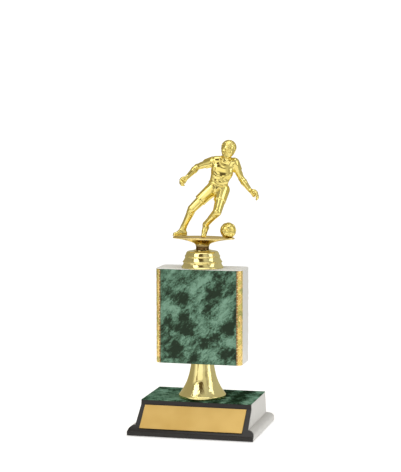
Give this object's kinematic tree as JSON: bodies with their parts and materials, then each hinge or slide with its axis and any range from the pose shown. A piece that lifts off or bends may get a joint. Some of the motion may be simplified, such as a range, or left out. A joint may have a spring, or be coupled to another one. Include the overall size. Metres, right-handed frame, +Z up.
{
  "type": "figure trophy",
  "caption": "Small assembled sports trophy: sloped plinth with blank plate, gold riser, marble-faced column and a plated footballer that turns on the tie rod.",
  "frame": {"origin": "middle of the plinth footprint, on the surface that the trophy stands on", "axes": "+Z up along the tie rod, -Y is the front with the engraving plate, +X is the viewer's right from the front"},
  "size_m": [0.1136, 0.094, 0.2577],
  "materials": {
    "plated_gold": "vacuum-metallised bright gold with a clear coat",
    "pale_plastic": "light warm grey moulded plastic, fine vertical draw lines",
    "cap_plastic": "off-white moulded plastic",
    "black_plastic": "near-black moulded plastic, semi-gloss",
    "marble_laminate": "green marble-pattern printed laminate, semi-gloss",
    "prism_foil": "gold prism-cut foil with a dark beaded border",
    "satin_gold_plate": "satin gold anodised sheet",
    "steel": "zinc-plated steel",
    "brass": "machined",
    "adhesive_tape": "double-sided film",
    "cover_felt": "black felt-faced board",
    "pad_rubber": "self-adhesive rubber"
  },
  "bodies": {
    "trophy_body": {"base_shell": "pale_plastic", "base_front_panel": "black_plastic", "base_top_laminate": "marble_laminate", "plate_tape": "adhesive_tape", "engraving_plate": "satin_gold_plate", "base_weight": "steel", "base_bottom_cover": "cover_felt", "foot_pad_front_left": "pad_rubber", "foot_pad_front_right": "pad_rubber", "foot_pad_back_left": "pad_rubber", "foot_pad_back_right": "pad_rubber", "tie_rod": "steel", "rod_washer": "steel", "rod_nut": "steel", "riser": "plated_gold", "column_shell": "pale_plastic", "column_bottom_cap": "cap_plastic", "column_top_cap": "cap_plastic", "column_front_laminate": "marble_laminate", "column_back_laminate": "marble_laminate", "gold_edge_front_left": "prism_foil", "gold_edge_front_right": "prism_foil", "gold_edge_back_left": "prism_foil", "gold_edge_back_right": "prism_foil", "figure_collar": "plated_gold"},
    "figure": {"figure_stand": "plated_gold", "figure_insert": "brass", "figure_player": "plated_gold", "soccer_ball": "plated_gold"}
  },
  "joints": [
    {"name": "figure_turn", "type": "hinge", "parent": "trophy_body", "child": "figure", "pos_m": [0, 0.002, 0.1615], "axis": [0, 0, 1], "continuous": true}
  ]
}
